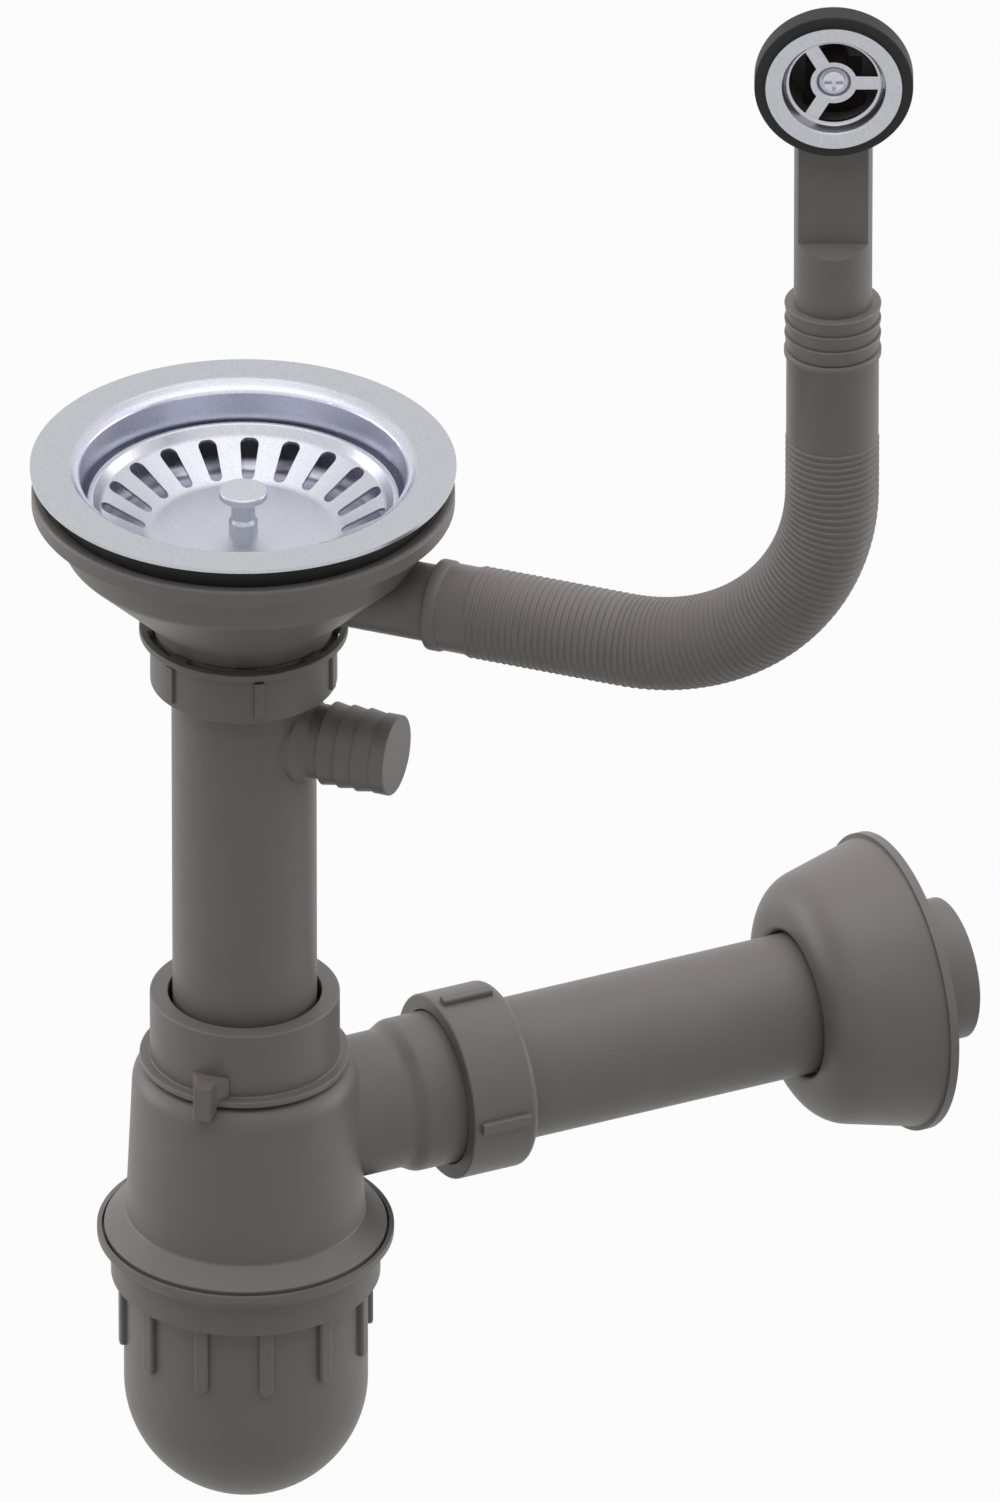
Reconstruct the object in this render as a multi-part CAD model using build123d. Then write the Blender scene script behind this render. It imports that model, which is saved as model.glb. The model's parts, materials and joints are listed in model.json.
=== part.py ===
from build123d import *
import math
import os

# Kitchen sink waste: basket strainer, overflow and bottle trap. Sizes are in millimetres.
# The origin is on the strainer's axis at the underside of its flange.
# +Z is up and +X runs along the outlet pipe, towards the wall.

# Fits
fit_gap = 0.1  # rubber or a socket on its pipe
run_gap = 0.25  # between pieces that turn or slide on each other

# Roundings of edges, depth of a rib's root, and how far a cutter runs past the face it opens
edge_round = 0.4
soft_round = 0.6
root_depth = 1.0
cut_margin = 1.0

# Strainer bowl, pressed from steel sheet
steel_sheet = 1.0
flange_radius = 58.6
mouth_radius = 48.1
bevel_radius = 45.0
bevel_drop = 2.3
bevel_break = 0.62  # share of the drop at the bevel's middle
bend_round = 1.4
bowl_radius = 43.6
bowl_depth = 31.5
bowl_wall_depth = 25.0
bowl_wall_round = 5.0
bowl_floor_radius = 27.0
bowl_floor_round = 4.0
screw_well_radius = 10.5
screw_well_drop = 4.0
screw_well_taper = 2.0
drain_hole_count = 10
drain_hole_radius = 4.2
drain_ring_radius = 17.4

# Basket, knob and stopper
basket_sheet = 0.7
basket_rim_radius = 43.0
basket_rim_width = 1.6
basket_rim_skirt = 1.5
basket_rim_round = 0.75
basket_rim_drop = 10.6
basket_shoulder_radius = 39.2
basket_shoulder_drop = 13.6
basket_shoulder_round = 3.0
basket_floor_radius = 26.3
basket_floor_drop = 20.5
basket_floor_round = 6.0
slot_count = 20
slot_angle = -45.0
slot_outer_end = 39.0
slot_inner_end = 27.0
slot_outer_width = 5.5
slot_inner_width = 3.2
slot_outer_round = 1.9
slot_inner_round = 1.5
knob_radius = 6.7
knob_head = 2.2
knob_top_drop = 8.0
knob_crown = 0.3
knob_neck = 1.0
knob_waist = 3.3
knob_waist_height = 4.2
knob_waist_round = 1.2
knob_foot = 4.0
knob_foot_height = 2.8
stud_radius = 2.0
stud_clear = 1.0
stopper_radius = 25.2
stopper_lip = 2.8
stopper_boss = 7.0
stopper_web = 2.6
stopper_slope = 4.0
stopper_nut_clear = 2.2
stopper_nut_flats = 8.0
stopper_nut_height = 3.0

# Seals on each side of the sink's sheet
seal_radius = 54.2
flange_seal_thick = 2.5
body_seal_thick = 4.3

# Waste body, moulded
body_wall = 2.6
rim_radius = 58.2
rim_lip = 0.7
rim_lip_width = 2.6
rim_height = 5.0
rim_round = 1.0
seat_clear = 2.0
band_top_radius = 54.0
band_bottom_radius = 49.5
band_height = 11.9
band_round = 5.0
cone_height = 23.5
cone_round = 6.0
throat_drop = 1.0
neck_shoulder_radius = 25.0
neck_shoulder_height = 2.8
neck_radius = 23.4
neck_length = 11.4
hub_radius = 8.0
hub_gap = 0.5
hub_height = 13.0
hub_arm_count = 4
hub_arm_width = 3.0
hub_arm_inset = 2.0
screw_radius = 3.0
screw_head_radius = 6.0
screw_head_height = 3.2
screw_head_round = 1.8
screw_end = 2.0
screw_slot_width = 1.4
hub_nut_flats = 10.0
hub_nut_height = 5.0

# Pipes
pipe_radius = 20.0
pipe_wall = 1.8

# Tail union and tail pipe
nut_wall_radius = 25.8
nut_height = 17.0
nut_flange_radius = 28.8
nut_flange_thick = 2.0
nut_slot_count = 8
nut_slot_arc = 33.0
nut_slot_inner = 24.6
nut_slot_outer = 26.9
nut_rib_count = 6
nut_rib_angle = -45.0
nut_rib_width = 2.7
nut_rib_height = 0.9
nut_rib_margin = 2.0
nut_lip = 2.2
seal_height = 3.2
seal_land = 0.6  # shares of a cone seal's height
seal_taper = 0.3
slip_ring_thick = 1.0
tail_insert = 9.0
tail_exposed = 99.3
dip_below_outlet = 70.0
branch_angle = -45.3
nozzle_below_nut = 15.6
nozzle_reach = 45.0
nozzle_root = 10.4
nozzle_valley = 10.9
nozzle_peak = 11.7
nozzle_land = 11.3
nozzle_land_length = 4.2
nozzle_flare = 12.6
nozzle_flare_reach = 1.5
nozzle_wall = 2.0
barb_count = 3
barb_pitch = 5.1
barb_slope = 0.95  # share of the pitch that slopes

# Trap collar and slip seal
collar_radius = 26.3
collar_bore = 21.2
collar_height = 19.5
collar_flange_radius = 29.2
collar_flange_thick = 1.8
collar_skirt_radius = 24.8
collar_skirt = 8.6
tab_angle = -135.0
tab_reach = 34.5
tab_end_width = 5.0
tab_root_width = 10.5
tab_above_flange = 6.2
tab_hook = 2.0
tab_shoulder = 0.6
tab_waist = 0.35  # share of the tab's reach where it narrows
tab_round = 2.0
slip_seal_height = 4.0

# Trap body
trap_wall = 2.6
trap_shoulder_round = 7.0
trap_top_radius = 31.0
trap_bottom_radius = 33.2
trap_height = 47.8
trap_cone_round = 1.0
trap_hollow_round = 2.0
trap_flange_radius = 39.2
trap_flange_drop = 4.9
trap_flange_edge = 1.3
skirt_radius = 34.4
skirt_wall = 3.2
skirt_length = 11.5
outlet_below_top = 24.05
spigot_radius = 19.6
spigot_bore = 16.9
spigot_end = 43.3
spigot_round = 4.0
flare_end = 47.0
socket_radius = 21.6
socket_start = 48.0
socket_end = 70.0

# Cup and its seal
cup_wall = 2.4
cup_lip_radius = 41.2
cup_lip_thick = 2.0
cup_lip_depth = 6.0
cup_lap = 0.5
cup_lip_gap = 0.7
cup_seal_thick = 1.5
cup_band_radius = 37.4
cup_band_height = 14.5
cup_band_step = 1.0
thread_clear = 1.5
thread_runout = 2.0
cup_radius = 33.9
cup_depth = 82.4
cup_rib_count = 12
cup_rib_angle = 15.0
cup_rib_width = 4.0
cup_rib_radius = 35.6
cup_rib_length = 21.2
cup_rib_round = 1.9
cup_rib_soft = 0.8

# Outlet union, outlet pipe and wall rosette
outlet_nut_radius = 26.3
outlet_nut_start = 58.0
outlet_nut_end = 78.0
outlet_nut_round = 2.4
outlet_rib_count = 4
outlet_rib_width = 3.4
outlet_rib_height = 1.6
outlet_rib_margin = 2.0
outlet_end = 215.6
outlet_insert = 20.0  # end that goes into the wall's socket
outlet_free = 17.1  # end beyond the rosette
insert_mark_width = 1.2
insert_mark_depth = 0.3
rosette_wall = 1.6
rosette_depth = 31.9
rosette_collar = 4.5
rosette_collar_round = 2.2
rosette_shoulder_radius = 33.8
rosette_nose_round = 12.0
rosette_skirt_radius = 41.2
rosette_lip_radius = 42.4
rosette_lip = 2.5

# Overflow hose
spigot_drop = 32.7
hose_spigot_radius = 10.7
hose_spigot_wall = 1.8
hose_spigot_end = 67.0
hose_start = 56.5
hose_bead_radius = 12.75
hose_bead_width = 4.0
hose_cuff_radius = 12.2
hose_cuff_end = 68.0
hose_ridge_radius = 12.85
hose_groove_radius = 12.4
hose_pitch = 1.95
hose_ridge_share = 0.75  # share of the pitch at which a ridge peaks
hose_bend_radius = 60.0
hose_rise_axis = 172.3
hose_top_cuff_radius = 12.65
hose_top_bead_radius = 13.3
hose_top_bead = 1.8
hose_ridges_top = 45.0
hose_top = 73.0

# Overflow elbow and its steel face
head_angle = -115.1
head_height = 161.0
elbow_radius = 10.7
elbow_wall = 1.8
elbow_tail = 20.0
elbow_cap = 2.0
collar_ring_radius = 13.3
collar_ring_foot = 12.5
collar_ring_count = 3
collar_ring_pitch = 4.6
elbow_flat = 4.9
elbow_flat_bottom = 107.7
elbow_flat_lead = 6.0
elbow_ledge_slope = 0.38  # fall of the ledge under the flat
head_plate_radius = 20.6
head_plate_thick = 2.0
head_cup_radius = 16.2
head_cup_back = 6.2
head_mouth_radius = 13.4
head_round = 6.0
head_boss_radius = 4.0
head_boss_drop = 1.0
head_boss_floor = 1.0
gasket_radius = 21.6
gasket_thick = 6.2
gasket_bore = 15.6
face_radius = 18.55
face_dish_radius = 14.2
face_dish_floor = 12.9
face_dish_depth = 3.5
face_window_radius = 12.2
face_hub_radius = 6.3
face_round = 1.1
dimple_radius = 4.7
dimple_floor = 4.1
dimple_depth = 1.6
dimple_round = 1.0
spoke_count = 3
spoke_width = 4.0
overflow_screw_radius = 2.5
overflow_screw_head = 3.2
overflow_screw_head_height = 1.4
overflow_screw_length = 12.0
cross_share = 0.8  # share of the head's radius
cross_width = 1.0
cross_floor = 0.3

# Heights that follow from the sizes above
flange_top = steel_sheet
bowl_floor = flange_top - bowl_depth
screw_seat = bowl_floor - screw_well_drop
basket_rim = flange_top - basket_rim_drop
basket_floor = flange_top - basket_floor_drop
body_seat = -flange_seal_thick - body_seal_thick
rim_top = body_seat + rim_lip
rim_bottom = rim_top - rim_height
band_bottom = rim_bottom - band_height
cone_bottom = band_bottom - cone_height
neck_shoulder = cone_bottom - neck_shoulder_height
neck_end = neck_shoulder - neck_length
hub_top = screw_seat - steel_sheet - hub_gap
nut_top = neck_shoulder - run_gap
nut_bottom = nut_top - nut_height
pipe_top = neck_end + tail_insert
nozzle_z = nut_bottom - nozzle_below_nut
collar_top = nut_bottom - tail_exposed
collar_flange = collar_top - collar_height
trap_top = collar_flange - collar_flange_thick - run_gap
outlet_z = trap_top - outlet_below_top
pipe_bottom = outlet_z - dip_below_outlet
seal_ledge = collar_flange - collar_flange_thick - collar_skirt - slip_seal_height - 2 * run_gap
trap_cone = trap_top - trap_height
trap_flange = trap_cone - trap_flange_drop
trap_flange_bottom = trap_flange - trap_flange_edge
skirt_bottom = trap_flange_bottom - skirt_length
cup_seal_bottom = trap_flange_bottom - cup_seal_thick - run_gap
cup_top = trap_flange_bottom + cup_lap
cup_band_bottom = cup_top - cup_band_height
cup_bottom = cup_top - cup_depth
cup_centre = cup_bottom + cup_radius
spigot_z = flange_top - spigot_drop
rosette_back = outlet_end - outlet_free
rosette_nose = rosette_back - rosette_depth
pipe_bore = pipe_radius - pipe_wall
hose_bore = hose_spigot_radius + fit_gap
head_front = elbow_flat + head_plate_thick
gasket_front = head_front + gasket_thick
tail_start = hose_top + run_gap


def outline(corners):
    # Closed face through (x, y, radius) corners, each rounded by its radius, 0 for a sharp one.
    spans = []
    for i, (x, y, radius) in enumerate(corners):
        here = Vector(x, y)
        back = (Vector(*corners[i - 1][:2]) - here).normalized()
        ahead = (Vector(*corners[(i + 1) % len(corners)][:2]) - here).normalized()
        half = math.radians(back.get_angle(ahead)) / 2
        setback = radius / math.tan(half) if radius else 0
        middle = here + (back + ahead).normalized() * (radius / math.sin(half) - radius) if radius else here
        spans.append((here + back * setback, middle, here + ahead * setback))
    edges = []
    for i, (enter, middle, leave) in enumerate(spans):
        if (leave - enter).length > 1e-6:
            edges.append(ThreePointArc(enter, middle, leave))
        following = spans[(i + 1) % len(spans)][0]
        if (following - leave).length > 1e-6:
            edges.append(Line(leave, following))
    return make_face(edges)


def turned(corners):
    # Revolve a section of (radius, height, rounding) corners about Z.
    full = [(c[0], c[1], c[2] if len(c) > 2 else 0) for c in corners]
    return revolve(Plane.XZ * outline(full), Axis.Z, 360)


def pressed(path, thickness):
    # Section corners of a sheet: path is its upper face and the sheet lies to the left of the path.
    far = []
    for i, (x, y, radius) in enumerate(path):
        here = Vector(x, y)
        before = (here - Vector(*path[i - 1][:2])).normalized() if i else None
        after = (Vector(*path[i + 1][:2]) - here).normalized() if i < len(path) - 1 else before
        before = before or after
        turn = (before + after).normalized()
        side = Vector(-turn.Y, turn.X)
        reach = thickness / side.dot(Vector(-after.Y, after.X))
        bend = before.X * after.Y - before.Y * after.X
        rounding = radius + (thickness if bend < 0 else -thickness) if radius else 0
        far.append(((here + side * reach).X, (here + side * reach).Y, max(rounding, 0)))
    return list(path) + far[::-1]


def around(count, first, piece):
    return [Rot(0, 0, first + 360 / count * i) * piece for i in range(count)]


def rod(radius, low, high):
    return Pos(0, 0, (low + high) / 2) * Cylinder(radius, high - low)


def bar(inner, outer, width, low, high):
    # Bar along +X from one radius to another.
    size = (outer - inner, width, high - low)
    return Pos((inner + outer) / 2, 0, (low + high) / 2) * Box(*size)


def hexagon(flats, low, high):
    return Pos(0, 0, low) * extrude(RegularPolygon(flats / math.sqrt(3), 6), high - low)


def sideways(angle, height):
    # Stands a piece made along Z out sideways, at an angle in plan.
    return Pos(0, 0, height) * Rot(0, 0, angle) * Rot(0, 90, 0)


# Strainer bowl
def make_strainer_bowl():
    wall_bottom = flange_top - bowl_wall_depth
    path = [
        (flange_radius, flange_top, 0),
        (mouth_radius, flange_top, bend_round),
        ((mouth_radius + bevel_radius) / 2, flange_top - bevel_drop * bevel_break, bend_round),
        (bevel_radius, flange_top - bevel_drop, bend_round),
        (bowl_radius, wall_bottom, bowl_wall_round),
        (bowl_floor_radius, bowl_floor, bowl_floor_round),
        (screw_well_radius, bowl_floor, bend_round),
        (screw_well_radius - screw_well_taper, screw_seat, bend_round),
        (screw_radius + fit_gap, screw_seat, 0),
    ]
    bowl = turned(pressed(path, steel_sheet))
    reach = steel_sheet + cut_margin
    hole = rod(drain_hole_radius, bowl_floor - reach, bowl_floor + reach)
    hole = Pos(drain_ring_radius, 0, 0) * hole
    return bowl - around(drain_hole_count, 0, hole)


# Screw down the middle of the bowl, into the hub of the body
def make_fixing_screw():
    end = hub_top - hub_height - screw_end
    screw = turned(
        [
            (0, screw_seat + screw_head_height, 0),
            (screw_head_radius, screw_seat + screw_head_height, screw_head_round),
            (screw_head_radius, screw_seat, 0),
            (screw_radius, screw_seat, 0),
            (screw_radius, end, soft_round),
            (0, end, 0),
        ]
    )
    slot_floor = screw_seat + screw_head_height / 2
    reach = screw_head_radius + cut_margin
    return screw - bar(-reach, reach, screw_slot_width, slot_floor, screw_seat + 2 * screw_head_height)


def make_hub_nut():
    low = hub_top - hub_height
    nut = hexagon(hub_nut_flats - 2 * fit_gap, low, low + hub_nut_height)
    return nut - rod(screw_radius + fit_gap / 2, low - cut_margin, low + hub_nut_height + cut_margin)


# Seals
def make_flange_seal():
    inner = mouth_radius + steel_sheet
    return turned(
        [
            (seal_radius, 0, soft_round),
            (seal_radius, -flange_seal_thick, 0),
            (inner, -flange_seal_thick, 0),
            (inner, 0, 0),
        ]
    )


def make_body_seal():
    inner = bevel_radius + steel_sheet + run_gap
    return turned(
        [
            (seal_radius, -flange_seal_thick, soft_round),
            (seal_radius, body_seat, 0),
            (inner, body_seat, 0),
            (inner, -flange_seal_thick, 0),
        ]
    )


# Basket
def make_basket():
    floor_hole = stud_radius + fit_gap
    path = [
        (basket_rim_radius, basket_rim - basket_rim_skirt, 0),
        (basket_rim_radius, basket_rim, basket_rim_round),
        (basket_rim_radius - basket_rim_width, basket_rim, basket_rim_round),
        (basket_shoulder_radius, flange_top - basket_shoulder_drop, basket_shoulder_round),
        (basket_floor_radius, basket_floor, basket_floor_round),
        (floor_hole, basket_floor, 0),
    ]
    dish = turned(pressed(path, basket_sheet))
    outer = slot_outer_width / 2
    inner = slot_inner_width / 2
    plan = outline(
        [
            (slot_inner_end, -inner, slot_inner_round),
            (slot_outer_end, -outer, slot_outer_round),
            (slot_outer_end, outer, slot_outer_round),
            (slot_inner_end, inner, slot_inner_round),
        ]
    )
    depth = basket_rim - basket_floor
    slot = Pos(0, 0, basket_floor - depth) * extrude(plan, 2 * depth)
    return dish - around(slot_count, slot_angle, slot)


def stopper_levels():
    top = basket_floor - basket_sheet
    bottom = bowl_floor + run_gap
    return top, bottom


def make_basket_knob():
    top = flange_top - knob_top_drop
    under = top - knob_head
    end = stopper_levels()[1] + stud_clear
    return turned(
        [
            (0, top + knob_crown, 0),
            (knob_radius, top, soft_round),
            (knob_radius, under, soft_round),
            (knob_waist, under - knob_neck, knob_waist_round),
            (knob_waist, basket_floor + knob_waist_height, knob_waist_round),
            (knob_foot, basket_floor + knob_foot_height, edge_round),
            (knob_foot, basket_floor, 0),
            (stud_radius, basket_floor, 0),
            (stud_radius, end, edge_round),
            (0, end, 0),
        ]
    )


def make_basket_stopper():
    top, bottom = stopper_levels()
    web_low = bottom + stopper_nut_height + stopper_nut_clear
    web_top = web_low + stopper_web
    lip = stopper_radius - stopper_lip
    return turned(
        [
            (stud_radius + fit_gap, top, 0),
            (stopper_boss, top, edge_round),
            (stopper_boss, web_top, bend_round),
            (stopper_radius - stopper_slope, web_top, bend_round),
            (stopper_radius, bottom, 0),
            (lip, bottom, 0),
            (lip - stopper_slope / 2, web_low, soft_round),
            (stud_radius + fit_gap, web_low, 0),
        ]
    )


def make_stopper_nut():
    high = stopper_levels()[1] + stopper_nut_height + stopper_nut_clear
    low = high - stopper_nut_height
    nut = hexagon(stopper_nut_flats, low, high)
    return nut - rod(stud_radius + fit_gap / 2, low - cut_margin, high + cut_margin)


# Waste body with the overflow spigot and the hub that takes the fixing screw
def make_waste_body():
    seat_inner = bevel_radius + steel_sheet + seat_clear
    bore = pipe_radius + fit_gap
    outer = turned(
        [
            (0, body_seat, 0),
            (rim_radius - rim_lip_width, body_seat, 0),
            (rim_radius - rim_lip_width, rim_top, edge_round),
            (rim_radius, rim_top, rim_round),
            (rim_radius, rim_bottom, edge_round),
            (band_top_radius, rim_bottom, soft_round),
            (band_bottom_radius, band_bottom, band_round),
            (neck_shoulder_radius, cone_bottom, cone_round),
            (neck_shoulder_radius, neck_shoulder, edge_round),
            (neck_radius, neck_shoulder, 0),
            (neck_radius, neck_end, soft_round),
            (0, neck_end, 0),
        ]
    )
    side = sideways(branch_angle, spigot_z)
    outer += side * rod(hose_spigot_radius, 0, hose_spigot_end)
    cavity = turned(
        [
            (0, body_seat + cut_margin, 0),
            (seat_inner, body_seat + cut_margin, 0),
            (seat_inner, rim_bottom, 0),
            (band_bottom_radius - body_wall, band_bottom, band_round),
            (bore, cone_bottom - throat_drop, cone_round / 2),
            (bore, neck_end - cut_margin, 0),
            (0, neck_end - cut_margin, 0),
        ]
    )
    spigot_bore_end = hose_spigot_end + cut_margin
    shell = outer - cavity - side * rod(hose_spigot_radius - hose_spigot_wall, 0, spigot_bore_end)
    low = hub_top - hub_height
    arm_low = low + hub_arm_inset
    arm_high = hub_top - hub_arm_inset
    arm = bar(0, neck_shoulder_radius + cone_height, hub_arm_width, arm_low, arm_high)
    web = (rod(hub_radius, low, hub_top) + around(hub_arm_count, 0, arm)) & cavity
    web -= rod(screw_radius + fit_gap, low - cut_margin, hub_top + cut_margin)
    web -= hexagon(hub_nut_flats, low - cut_margin, low + hub_nut_height)
    return shell + web


# Nut that clamps the tail pipe to the neck, with arc slots through its flange
def make_tail_nut():
    thread = neck_radius + run_gap
    lip_bore = pipe_radius + run_gap
    nut = turned(
        [
            (thread, nut_top, 0),
            (nut_flange_radius, nut_top, edge_round),
            (nut_flange_radius, nut_top - nut_flange_thick, edge_round),
            (nut_wall_radius, nut_top - nut_flange_thick, edge_round),
            (nut_wall_radius, nut_bottom, soft_round),
            (lip_bore, nut_bottom, 0),
            (lip_bore, nut_bottom + nut_lip, 0),
            (thread, nut_bottom + nut_lip, 0),
        ]
    )
    rib = bar(
        nut_wall_radius - root_depth,
        nut_wall_radius + nut_rib_height,
        nut_rib_width,
        nut_bottom + nut_rib_margin,
        nut_top - nut_flange_thick - nut_rib_margin,
    )
    rib = fillet(rib.edges().filter_by(Axis.Z).sort_by(Axis.X)[2:], edge_round)
    nut += around(nut_rib_count, nut_rib_angle, rib)
    section = outline(
        [
            (nut_slot_inner, nut_top - nut_flange_thick, 0),
            (nut_slot_outer, nut_top - nut_flange_thick, 0),
            (nut_slot_outer, nut_top + cut_margin, 0),
            (nut_slot_inner, nut_top + cut_margin, 0),
        ]
    )
    slot = Rot(0, 0, -nut_slot_arc / 2) * revolve(Plane.XZ * section, Axis.Z, nut_slot_arc)
    return nut - around(nut_slot_count, 0, slot)


def cone_seal(outside, low, height):
    # Seal that grips a pipe, bevelled at the end that goes into its socket.
    bore = pipe_radius + fit_gap
    return turned(
        [
            (bore, low, 0),
            (outside, low, 0),
            (outside, low + height * seal_land, 0),
            (outside - height * seal_taper, low + height, 0),
            (bore, low + height, 0),
        ]
    )


def flat_ring(inner, outer, low, high):
    return rod(outer, low, high) - rod(inner, low - cut_margin, high + cut_margin)


def make_tail_slip_ring():
    low = nut_bottom + nut_lip + run_gap
    return flat_ring(pipe_radius + fit_gap, neck_radius, low, low + slip_ring_thick)


def make_tail_seal():
    low = nut_bottom + nut_lip + run_gap + slip_ring_thick
    return cone_seal(neck_radius, low, neck_end - low)


# Tail pipe with the closed, barbed nozzle for an appliance hose
def make_tail_pipe():
    pipe = rod(pipe_radius, pipe_bottom, pipe_top)
    land_start = nozzle_reach - nozzle_land_length
    first_barb = land_start - barb_count * barb_pitch
    corners = [
        (0, 0, 0),
        (nozzle_flare, 0, 0),
        (nozzle_flare, pipe_bore, 0),
        (nozzle_root, pipe_radius + nozzle_flare_reach, nozzle_flare_reach),
        (nozzle_root, first_barb, 0),
    ]
    for i in range(barb_count):
        at = first_barb + i * barb_pitch
        corners += [(nozzle_peak, at, 0), (nozzle_valley, at + barb_pitch * barb_slope, 0)]
    corners += [
        (nozzle_land, land_start, 0),
        (nozzle_land, nozzle_reach, edge_round),
        (0, nozzle_reach, 0),
    ]
    side = sideways(branch_angle, nozzle_z)
    pipe += side * turned(corners)
    pipe -= side * rod(nozzle_root - nozzle_wall, 0, nozzle_reach - nozzle_wall)
    return pipe - rod(pipe_bore, pipe_bottom - cut_margin, pipe_top + cut_margin)


# Trap collar with its T-shaped finger tab
def make_trap_collar():
    flange_bottom = collar_flange - collar_flange_thick
    skirt_end = flange_bottom - collar_skirt
    ring = turned(
        [
            (collar_bore, collar_top, edge_round),
            (collar_radius, collar_top, soft_round),
            (collar_radius, collar_flange, edge_round),
            (collar_flange_radius, collar_flange, edge_round),
            (collar_flange_radius, flange_bottom, edge_round),
            (collar_skirt_radius, flange_bottom, 0),
            (collar_skirt_radius, skirt_end, edge_round),
            (collar_bore, skirt_end, 0),
        ]
    )
    root = collar_radius - root_depth
    half_root = tab_root_width / 2
    half_end = tab_end_width / 2
    waist = collar_radius + (tab_reach - collar_radius) * tab_waist
    plan = outline(
        [
            (root, -half_root, 0),
            (collar_radius + tab_shoulder, -half_root, 0),
            (waist, -half_end, tab_round),
            (tab_reach, -half_end, soft_round),
            (tab_reach, half_end, soft_round),
            (waist, half_end, tab_round),
            (collar_radius + tab_shoulder, half_root, 0),
            (root, half_root, 0),
        ]
    )
    hook_bottom = flange_bottom - tab_hook
    tab = Pos(0, 0, hook_bottom) * extrude(plan, collar_flange + tab_above_flange - hook_bottom)
    under = rod(collar_flange_radius + run_gap, hook_bottom - cut_margin, flange_bottom)
    return ring + Rot(0, 0, tab_angle) * (tab - under)


def make_slip_seal():
    low = seal_ledge + run_gap
    return cone_seal(collar_skirt_radius, low, slip_seal_height)


# Trap body: socket for the tail pipe, threaded skirt for the cup, socket for the outlet
def make_trap_body():
    socket = collar_skirt_radius + run_gap
    pilot = pipe_radius + run_gap
    outer = turned(
        [
            (0, trap_top, 0),
            (trap_top_radius, trap_top, trap_shoulder_round),
            (trap_bottom_radius, trap_cone, trap_cone_round),
            (trap_flange_radius, trap_flange, edge_round),
            (trap_flange_radius, trap_flange_bottom, 0),
            (skirt_radius, trap_flange_bottom, 0),
            (skirt_radius, skirt_bottom, soft_round),
            (0, skirt_bottom, 0),
        ]
    )
    side = sideways(0, outlet_z)
    outer += side * turned(
        [
            (0, 0, 0),
            (spigot_radius, 0, 0),
            (spigot_radius, spigot_end, spigot_round),
            (socket_radius, flare_end, spigot_round),
            (socket_radius, socket_end, edge_round),
            (0, socket_end, 0),
        ]
    )
    hollow = turned(
        [
            (0, trap_top + cut_margin, 0),
            (socket, trap_top + cut_margin, 0),
            (socket, seal_ledge, 0),
            (pilot, seal_ledge, 0),
            (pilot, seal_ledge - trap_wall, 0),
            (trap_top_radius - trap_wall, seal_ledge - trap_wall, trap_hollow_round),
            (skirt_radius - skirt_wall, trap_cone, 0),
            (skirt_radius - skirt_wall, skirt_bottom - cut_margin, 0),
            (0, skirt_bottom - cut_margin, 0),
        ]
    )
    bore = turned(
        [
            (0, 0, 0),
            (spigot_bore, 0, 0),
            (spigot_bore, socket_start, 0),
            (pipe_radius + fit_gap, socket_start, 0),
            (pipe_radius + fit_gap, socket_end + cut_margin, 0),
            (0, socket_end + cut_margin, 0),
        ]
    )
    return outer - hollow - side * bore


# Cup and the flat seal in its lip
def make_cup_seal():
    high = cup_seal_bottom + cup_seal_thick
    outer = trap_flange_radius - 2 * fit_gap
    return flat_ring(skirt_radius + run_gap, outer, cup_seal_bottom, high)


def make_trap_cup():
    thread = skirt_radius + run_gap
    recess = trap_flange_radius + cup_lip_gap
    inner = cup_radius - cup_wall
    floor = cup_bottom + cup_wall
    thread_end = skirt_bottom - thread_clear
    bore_top = thread_end - thread_runout
    lip_low = cup_top - cup_lip_thick
    taper_low = cup_top - cup_lip_depth
    wall_top = cup_band_bottom - cup_band_step
    meridian = [
        Line((recess, cup_top), (cup_lip_radius, cup_top)),
        Line((cup_lip_radius, cup_top), (cup_lip_radius, lip_low)),
        Line((cup_lip_radius, lip_low), (cup_band_radius, taper_low)),
        Line((cup_band_radius, taper_low), (cup_band_radius, cup_band_bottom)),
        Line((cup_band_radius, cup_band_bottom), (cup_radius, wall_top)),
        Line((cup_radius, wall_top), (cup_radius, cup_centre)),
        CenterArc((0, cup_centre), cup_radius, 0, -90),
        Line((0, cup_bottom), (0, floor)),
        CenterArc((0, cup_centre), inner, -90, 90),
        Line((inner, cup_centre), (inner, bore_top)),
        Line((inner, bore_top), (thread, thread_end)),
        Line((thread, thread_end), (thread, cup_seal_bottom)),
        Line((thread, cup_seal_bottom), (recess, cup_seal_bottom)),
        Line((recess, cup_seal_bottom), (recess, cup_top)),
    ]
    cup = revolve(Plane.XZ * make_face(meridian), Axis.Z, 360)
    rib_bottom = cup_band_bottom - cup_rib_length
    half = cup_rib_width / 2
    plan = outline(
        [
            (-half, rib_bottom, cup_rib_round),
            (half, rib_bottom, cup_rib_round),
            (half, cup_band_bottom + root_depth, 0),
            (-half, cup_band_bottom + root_depth, 0),
        ]
    )
    root = inner + root_depth
    rib = Pos(root, 0, 0) * extrude(Plane.YZ * plan, cup_rib_radius - root)
    rib = fillet(rib.faces().sort_by(Axis.X)[-1].edges(), cup_rib_soft)
    return cup + around(cup_rib_count, cup_rib_angle, rib)


# Outlet union
def make_outlet_seal():
    seal = cone_seal(socket_radius - fit_gap, 0, seal_height)
    return sideways(0, outlet_z) * Pos(0, 0, socket_end + seal_height) * Rot(180, 0, 0) * seal


def make_outlet_slip_ring():
    low = socket_end + seal_height
    ring = flat_ring(pipe_radius + fit_gap, socket_radius - fit_gap, low, low + slip_ring_thick)
    return sideways(0, outlet_z) * ring


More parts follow.
